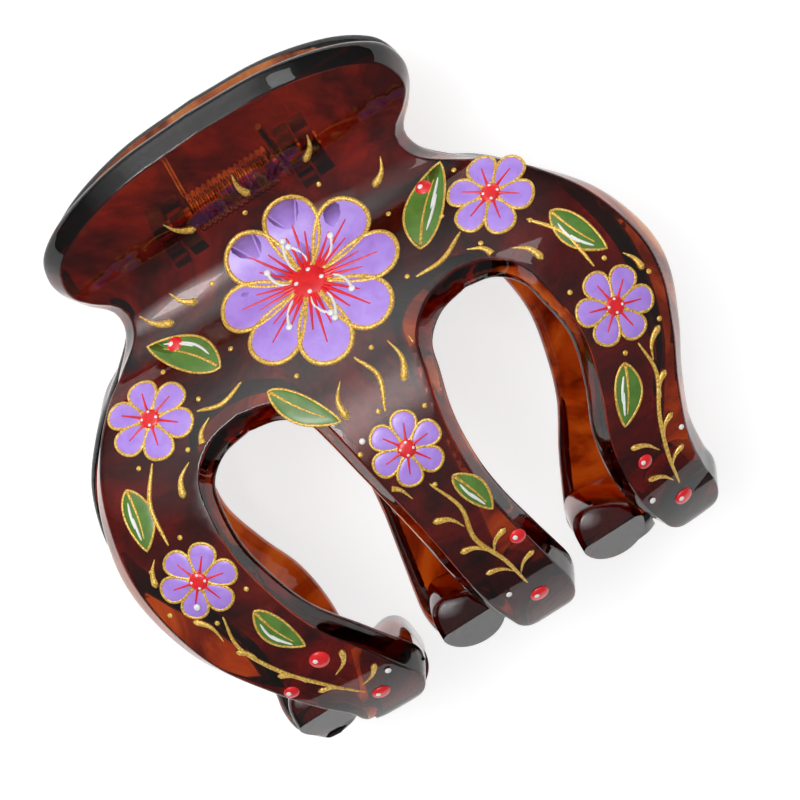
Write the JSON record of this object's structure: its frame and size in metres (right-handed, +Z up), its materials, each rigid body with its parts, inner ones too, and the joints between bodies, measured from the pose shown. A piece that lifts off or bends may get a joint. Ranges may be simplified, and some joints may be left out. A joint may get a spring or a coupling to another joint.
{
  "type": "hair claw clip",
  "caption": "Spring claw clip for hair: two curved jaws with interlocking prongs hinged on a pin, squeezed open at their thumb plates.",
  "frame": {"origin": "middle of the floor under the clip, which lies on its back jaw", "axes": "+X along the hinge pin, +Y towards the thumb plates, +Z up out of the front jaw"},
  "size_m": [0.0718, 0.0698, 0.0397],
  "materials": {
    "tortoiseshell": "polished translucent dark tortoiseshell acetate",
    "steel": "bright spring steel"
  },
  "bodies": {
    "back": {"jaw_back": "tortoiseshell", "hinge_pin": "steel", "spring_coil": "steel"},
    "front": {"jaw_front": "tortoiseshell", "spring_leg": "steel"}
  },
  "joints": [
    {"name": "jaw_hinge", "type": "hinge", "parent": "back", "child": "front", "pos_m": [0, 0.02524, 0.01985], "axis": [-1, 0, 0], "range_deg": [0, 75], "stiffness_Nm_per_rad": 0.12, "springref_deg": -68.75}
  ]
}
